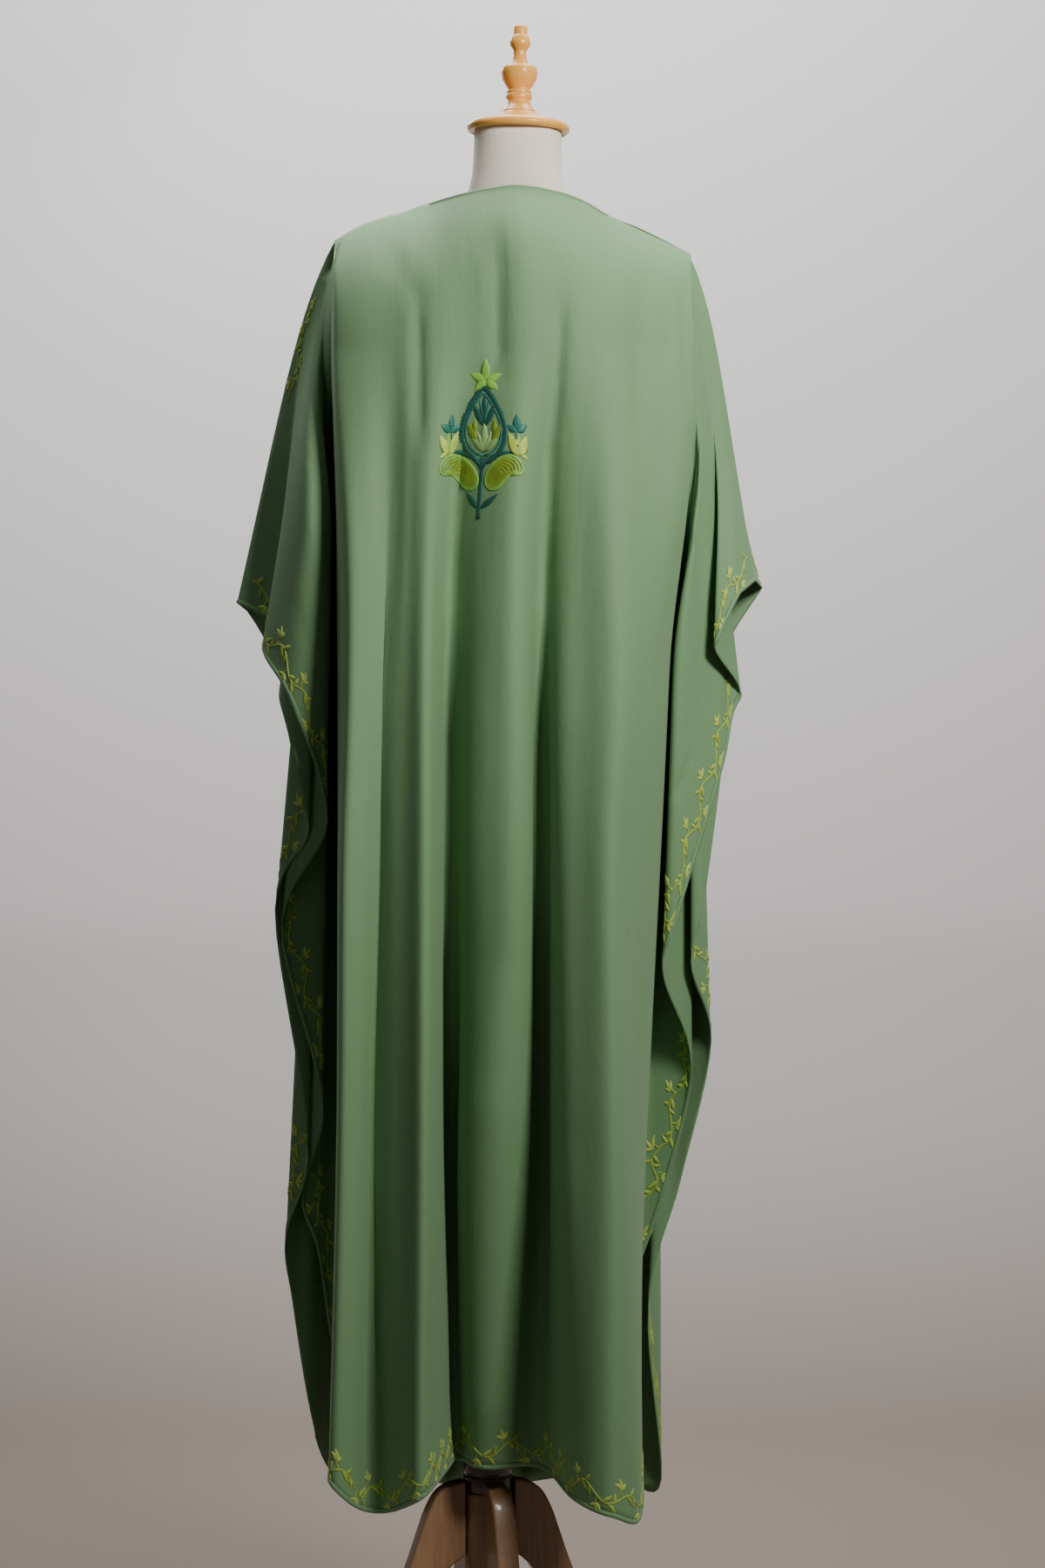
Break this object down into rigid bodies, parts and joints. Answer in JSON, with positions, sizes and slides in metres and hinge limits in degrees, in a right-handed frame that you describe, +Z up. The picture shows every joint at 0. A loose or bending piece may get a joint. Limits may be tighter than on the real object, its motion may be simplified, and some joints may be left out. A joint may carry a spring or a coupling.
{
  "type": "kaftan on a dress form",
  "caption": "Long wide kaftan of plain green woven cloth with V neck and embroidered edges, hung in folds on a limbless dress form with a wooden stand.",
  "frame": {"origin": "middle of the footprint, on the floor", "axes": "+Z up, +Y towards the side that the wearer's back faces, +X towards the wearer's left side as seen from behind in the picture"},
  "size_m": [0.5752, 0.4252, 1.8229],
  "materials": {
    "cloth": "plain woven green cloth, soft sheen",
    "linen": "pale beige form cover",
    "honey_wood": "varnished honey wood",
    "leg_wood": "varnished mid brown wood",
    "dark_wood": "dark stained wood",
    "steel": "brushed steel"
  },
  "bodies": {
    "root": {"back_panel": "cloth", "front_panel": "cloth", "form_torso": "linen", "neck_cap": "honey_wood", "finial": "honey_wood", "pole": "steel", "hub_collar": "dark_wood", "base_column": "leg_wood", "leg_1": "leg_wood", "leg_2": "leg_wood", "leg_3": "leg_wood", "leg_4": "leg_wood"}
  },
  "joints": []
}
